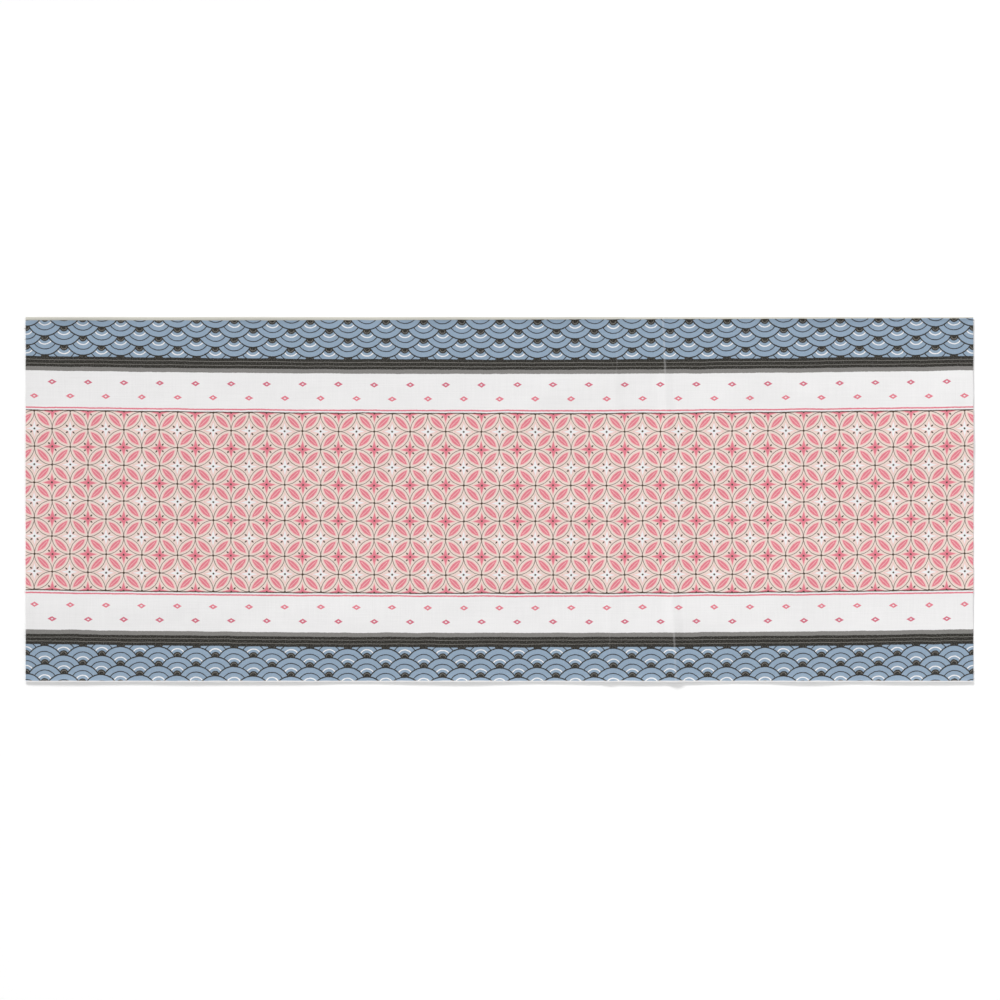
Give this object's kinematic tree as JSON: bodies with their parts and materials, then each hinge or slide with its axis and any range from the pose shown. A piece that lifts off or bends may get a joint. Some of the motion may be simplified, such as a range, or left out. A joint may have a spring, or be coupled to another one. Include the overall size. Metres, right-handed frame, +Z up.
{
  "type": "printed cotton tenugui towel",
  "caption": "Long narrow plain-weave cotton hand towel, unfolded and lying flat, with one worn crosswise fold crease, cut unhemmed ends and an all-over print.",
  "frame": {"origin": "centre of the towel, on the surface that it lies on", "axes": "+X along the towel's length, +Y across it towards the long edge that is uppermost in the picture, +Z up out of the printed face"},
  "size_m": [0.9, 0.347, 0.0026],
  "materials": {
    "printed_cotton": "matte plain-weave cotton, printed in pale pink, rose, white, slate blue, charcoal and grey"
  },
  "bodies": {
    "root": {"towel": "printed_cotton"}
  },
  "joints": []
}
